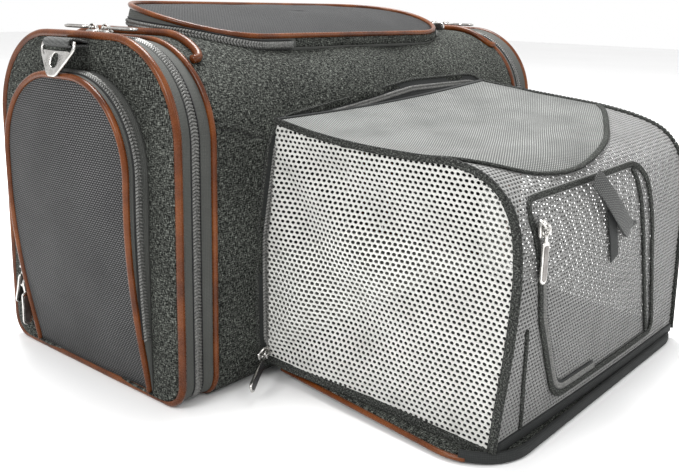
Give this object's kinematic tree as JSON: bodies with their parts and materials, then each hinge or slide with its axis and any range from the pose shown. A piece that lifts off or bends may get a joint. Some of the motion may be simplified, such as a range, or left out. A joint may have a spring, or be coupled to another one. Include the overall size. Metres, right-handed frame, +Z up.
{
  "type": "pet carrier bag",
  "caption": "Soft-sided pet carrier with arched ends, raised roof hatch and an unfolded mesh tent on its front.",
  "frame": {"origin": "on the ground under the middle of the bag's body", "axes": "+Z up, X along the bag from the left end to the right end, Y from the tent in front (-Y) to the back (+Y)"},
  "size_m": [0.5612, 0.4681, 0.3035],
  "materials": {
    "heather": "salt and pepper heather polyester, matte",
    "piping": "saddle brown imitation leather piping, satin",
    "zipper_tape": "woven zipper tape with a nylon coil",
    "dark_tape": "dark woven tape and coil",
    "webbing": "grey polyester webbing",
    "woven_mesh": "dark grey tight woven mesh",
    "white_mesh": "white knitted mesh with open holes",
    "tent_mesh": "light grey knitted mesh",
    "tent_door_mesh": "grey knitted mesh",
    "nickel": "polished nickel",
    "black_pull": "black enamel in a nickel rim",
    "board": "fabric covered board",
    "fleece": "short pile fleece",
    "spring_wire": "spring steel"
  },
  "bodies": {
    "bag": {"main_shell": "heather", "base_board": "board", "fleece_pad": "fleece", "spring_wires": "spring_wire", "inner_pipings": "piping", "left_gusset_inner_tape": "zipper_tape", "right_gusset_inner_tape": "zipper_tape", "front_frame": "dark_tape", "hatch_base": "zipper_tape", "tent_roof": "tent_mesh", "tent_left_side": "white_mesh", "tent_right_side": "white_mesh"},
    "hatch": {"hatch_skirt": "heather", "hatch_mesh": "woven_mesh", "hatch_piping": "piping"},
    "front_panel": {"front_panel": "heather", "front_panel_piping": "piping"},
    "tent_front": {"tent_front_wall": "tent_mesh"},
    "tent_door": {"tent_door": "tent_door_mesh", "tent_door_strap": "webbing"},
    "left_end": {"left_end_panel": "heather", "left_outer_piping": "piping", "left_gusset_outer_tape": "zipper_tape", "left_ring_strap": "webbing"},
    "left_ring": {"left_triangle_ring": "nickel"},
    "left_window": {"left_window_mesh": "woven_mesh", "left_window_piping": "piping"},
    "left_handle": {"left_handle": "piping"},
    "left_gusset_slider_rear": {"left_gusset_slider_rear": "nickel"},
    "left_gusset_pull_rear": {"left_gusset_pull_rear": "nickel"},
    "left_gusset_slider_front": {"left_gusset_slider_front": "nickel"},
    "left_gusset_pull_front": {"left_gusset_pull_front": "nickel"},
    "left_window_slider_upper": {"left_window_slider_upper": "nickel"},
    "left_window_pull_upper": {"left_window_pull_upper": "nickel"},
    "left_window_slider_lower": {"left_window_slider_lower": "nickel"},
    "left_window_pull_lower": {"left_window_pull_lower": "nickel"},
    "right_end": {"right_end_panel": "heather", "right_outer_piping": "piping", "right_gusset_outer_tape": "zipper_tape", "right_ring_strap": "webbing"},
    "right_ring": {"right_triangle_ring": "nickel"},
    "right_window": {"right_window_mesh": "woven_mesh", "right_window_piping": "piping"},
    "right_handle": {"right_handle": "piping"},
    "right_gusset_slider_rear": {"right_gusset_slider_rear": "nickel"},
    "right_gusset_pull_rear": {"right_gusset_pull_rear": "nickel"},
    "right_gusset_slider_front": {"right_gusset_slider_front": "nickel"},
    "right_gusset_pull_front": {"right_gusset_pull_front": "nickel"},
    "right_window_slider_upper": {"right_window_slider_upper": "nickel"},
    "right_window_pull_upper": {"right_window_pull_upper": "nickel"},
    "right_window_slider_lower": {"right_window_slider_lower": "nickel"},
    "right_window_pull_lower": {"right_window_pull_lower": "nickel"},
    "hatch_slider_rear": {"hatch_slider_rear": "nickel"},
    "hatch_pull_rear": {"hatch_pull_rear": "nickel"},
    "hatch_slider_front": {"hatch_slider_front": "nickel"},
    "hatch_pull_front": {"hatch_pull_front": "nickel"},
    "front_slider": {"front_slider": "nickel"},
    "front_pull": {"front_pull": "black_pull"},
    "tent_slider": {"tent_slider": "nickel"},
    "tent_pull": {"tent_pull": "nickel"}
  },
  "joints": [
    {"name": "hatch_open", "type": "hinge", "parent": "bag", "child": "hatch", "pos_m": [0, -0.0844, 0.2695], "axis": [1, 0, 0], "range_deg": [0, 105]},
    {"name": "front_panel_fold", "type": "hinge", "parent": "bag", "child": "front_panel", "pos_m": [0, -0.124, 0.013], "axis": [1, 0, 0], "range_deg": [-92, 0], "deforming": ["tent_roof", "tent_left_side", "tent_right_side"]},
    {"name": "tent_wall_fold", "type": "hinge", "parent": "front_panel", "child": "tent_front", "pos_m": [0, -0.339, 0.008], "axis": [1, 0, 0], "range_deg": [-88, 0]},
    {"name": "tent_door_swing", "type": "hinge", "parent": "tent_front", "child": "tent_door", "pos_m": [0, -0.3378, 0.174], "axis": [-1, 0, 0], "range_deg": [0, 110]},
    {"name": "left_end_fold", "type": "hinge", "parent": "bag", "child": "left_end", "pos_m": [-0.254, 0, 0.004], "axis": [0, 1, 0], "range_deg": [-68, 0]},
    {"name": "left_window_open", "type": "hinge", "parent": "left_end", "child": "left_window", "pos_m": [-0.256, 0, 0.009], "axis": [0, -1, 0], "range_deg": [0, 66], "deforming": ["left_window_mesh", "left_window_piping"]},
    {"name": "left_ring_swing", "type": "hinge", "parent": "left_end", "child": "left_ring", "pos_m": [-0.271, 0, 0.272], "axis": [0, 1, 0], "range_deg": [0, 110]},
    {"name": "left_handle_lift", "type": "hinge", "parent": "bag", "child": "left_handle", "pos_m": [-0.219, 0, 0.264], "axis": [0, -1, 0], "range_deg": [0, 60]},
    {"name": "left_gusset_slider_rear_slide", "type": "slide", "parent": "bag", "child": "left_gusset_slider_rear", "axis": [0, 1, 0], "range_m": [0, 0.03]},
    {"name": "left_gusset_pull_rear_swing", "type": "hinge", "parent": "left_gusset_slider_rear", "child": "left_gusset_pull_rear", "pos_m": [-0.2385, 0.003, 0.2831], "axis": [1, 0, 0], "range_deg": [0, 150]},
    {"name": "left_gusset_slider_front_slide", "type": "slide", "parent": "bag", "child": "left_gusset_slider_front", "axis": [0, -1, 0], "range_m": [0, 0.022]},
    {"name": "left_gusset_pull_front_swing", "type": "hinge", "parent": "left_gusset_slider_front", "child": "left_gusset_pull_front", "pos_m": [-0.2385, -0.014, 0.2831], "axis": [-1, 0, 0], "range_deg": [0, 150]},
    {"name": "left_window_slider_upper_slide", "type": "slide", "parent": "left_end", "child": "left_window_slider_upper", "axis": [0, 0, 1], "range_m": [0, 0.1]},
    {"name": "left_window_pull_upper_swing", "type": "hinge", "parent": "left_window_slider_upper", "child": "left_window_pull_upper", "pos_m": [-0.2645, 0.0842, 0.074], "axis": [1, 0, 0], "range_deg": [0, 140]},
    {"name": "left_window_slider_lower_slide", "type": "slide", "parent": "left_end", "child": "left_window_slider_lower", "axis": [0, 0, 1], "range_m": [-0.018, 0]},
    {"name": "left_window_pull_lower_swing", "type": "hinge", "parent": "left_window_slider_lower", "child": "left_window_pull_lower", "pos_m": [-0.2645, 0.0842, 0.057], "axis": [1, 0, 0], "range_deg": [0, 14]},
    {"name": "right_end_fold", "type": "hinge", "parent": "bag", "child": "right_end", "pos_m": [0.254, 0, 0.004], "axis": [0, -1, 0], "range_deg": [-68, 0]},
    {"name": "right_window_open", "type": "hinge", "parent": "right_end", "child": "right_window", "pos_m": [0.256, 0, 0.009], "axis": [0, 1, 0], "range_deg": [0, 66], "deforming": ["right_window_mesh", "right_window_piping"]},
    {"name": "right_ring_swing", "type": "hinge", "parent": "right_end", "child": "right_ring", "pos_m": [0.271, 0, 0.272], "axis": [0, -1, 0], "range_deg": [0, 110]},
    {"name": "right_handle_lift", "type": "hinge", "parent": "bag", "child": "right_handle", "pos_m": [0.219, 0, 0.264], "axis": [0, 1, 0], "range_deg": [0, 60]},
    {"name": "right_gusset_slider_rear_slide", "type": "slide", "parent": "bag", "child": "right_gusset_slider_rear", "axis": [0, 1, 0], "range_m": [0, 0.03]},
    {"name": "right_gusset_pull_rear_swing", "type": "hinge", "parent": "right_gusset_slider_rear", "child": "right_gusset_pull_rear", "pos_m": [0.2385, 0.003, 0.2831], "axis": [1, 0, 0], "range_deg": [0, 150]},
    {"name": "right_gusset_slider_front_slide", "type": "slide", "parent": "bag", "child": "right_gusset_slider_front", "axis": [0, -1, 0], "range_m": [0, 0.022]},
    {"name": "right_gusset_pull_front_swing", "type": "hinge", "parent": "right_gusset_slider_front", "child": "right_gusset_pull_front", "pos_m": [0.2385, -0.014, 0.2831], "axis": [-1, 0, 0], "range_deg": [0, 150]},
    {"name": "right_window_slider_upper_slide", "type": "slide", "parent": "right_end", "child": "right_window_slider_upper", "axis": [0, 0, 1], "range_m": [0, 0.1]},
    {"name": "right_window_pull_upper_swing", "type": "hinge", "parent": "right_window_slider_upper", "child": "right_window_pull_upper", "pos_m": [0.2645, 0.0842, 0.074], "axis": [1, 0, 0], "range_deg": [0, 140]},
    {"name": "right_window_slider_lower_slide", "type": "slide", "parent": "right_end", "child": "right_window_slider_lower", "axis": [0, 0, 1], "range_m": [-0.018, 0]},
    {"name": "right_window_pull_lower_swing", "type": "hinge", "parent": "right_window_slider_lower", "child": "right_window_pull_lower", "pos_m": [0.2645, 0.0842, 0.057], "axis": [1, 0, 0], "range_deg": [0, 14]},
    {"name": "hatch_slider_rear_slide", "type": "slide", "parent": "bag", "child": "hatch_slider_rear", "axis": [0, 1, 0], "range_m": [0, 0.01]},
    {"name": "hatch_pull_rear_swing", "type": "hinge", "parent": "hatch_slider_rear", "child": "hatch_pull_rear", "pos_m": [0.163, -0.0065, 0.282], "axis": [0, 0, -1], "range_deg": [0, 95]},
    {"name": "hatch_slider_front_slide", "type": "slide", "parent": "bag", "child": "hatch_slider_front", "axis": [0, -1, 0], "range_m": [0, 0.01]},
    {"name": "hatch_pull_front_swing", "type": "hinge", "parent": "hatch_slider_front", "child": "hatch_pull_front", "pos_m": [0.163, -0.0235, 0.282], "axis": [0, 0, 1], "range_deg": [0, 95]},
    {"name": "front_slider_slide", "type": "slide", "parent": "bag", "child": "front_slider", "axis": [0, 0, 1], "range_m": [0, 0.12]},
    {"name": "front_pull_swing", "type": "hinge", "parent": "front_slider", "child": "front_pull", "pos_m": [-0.175, -0.1268, 0.025], "axis": [-0.342, 0, 0.9397], "range_deg": [0, 100]},
    {"name": "tent_slider_slide", "type": "slide", "parent": "tent_front", "child": "tent_slider", "axis": [0, 0, 1], "range_m": [-0.09, 0]},
    {"name": "tent_pull_swing", "type": "hinge", "parent": "tent_slider", "child": "tent_pull", "pos_m": [-0.133, -0.344, 0.164], "axis": [-1, 0, 0], "range_deg": [0, 150]}
  ],
  "couplings": [
    {"joint": "tent_wall_fold", "follows": "front_panel_fold", "ratio": 0.95}
  ]
}
